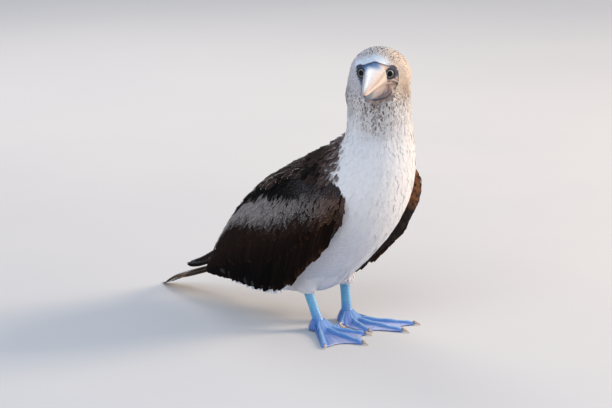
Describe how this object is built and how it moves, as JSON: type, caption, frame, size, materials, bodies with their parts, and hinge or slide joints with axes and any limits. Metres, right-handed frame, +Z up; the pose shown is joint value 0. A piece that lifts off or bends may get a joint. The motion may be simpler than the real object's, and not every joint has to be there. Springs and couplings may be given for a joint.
{
  "type": "blue-footed booby, still life-size model",
  "caption": "Life-size still model of a seabird standing on two webbed blue feet, head turned over its right shoulder, tail tip on the floor.",
  "frame": {"origin": "on the floor, under the middle of the whole bird's box", "axes": "+Z up, the body facing -Y, the bird's left towards +X"},
  "size_m": [0.1884, 0.4634, 0.355],
  "materials": {
    "head_feathers": "soft short feathers, cream streaked with brown",
    "white_feathers": "soft white contour feathers",
    "brown_feathers": "chocolate brown vaned feathers with pale edges on the back",
    "blue_skin": "scaly blue skin of the legs and webs, satin",
    "claw_horn": "pale horn",
    "bill_horn": "blue-grey horn, satin",
    "eye": "wet glassy eye with a pale olive iris"
  },
  "bodies": {
    "root": {"head": "head_feathers", "neck": "head_feathers", "trunk": "white_feathers", "thigh_left": "white_feathers", "thigh_right": "white_feathers", "wing_left": "brown_feathers", "wing_right": "brown_feathers", "tail": "brown_feathers", "tarsus_left": "blue_skin", "tarsus_right": "blue_skin", "foot_left": "blue_skin", "foot_right": "blue_skin", "claw_outer_left": "claw_horn", "claw_middle_left": "claw_horn", "claw_inner_left": "claw_horn", "claw_hind_left": "claw_horn", "claw_outer_right": "claw_horn", "claw_middle_right": "claw_horn", "claw_inner_right": "claw_horn", "claw_hind_right": "claw_horn", "bill_upper": "bill_horn", "bill_lower": "bill_horn", "eye_left": "eye", "eye_right": "eye"}
  },
  "joints": []
}
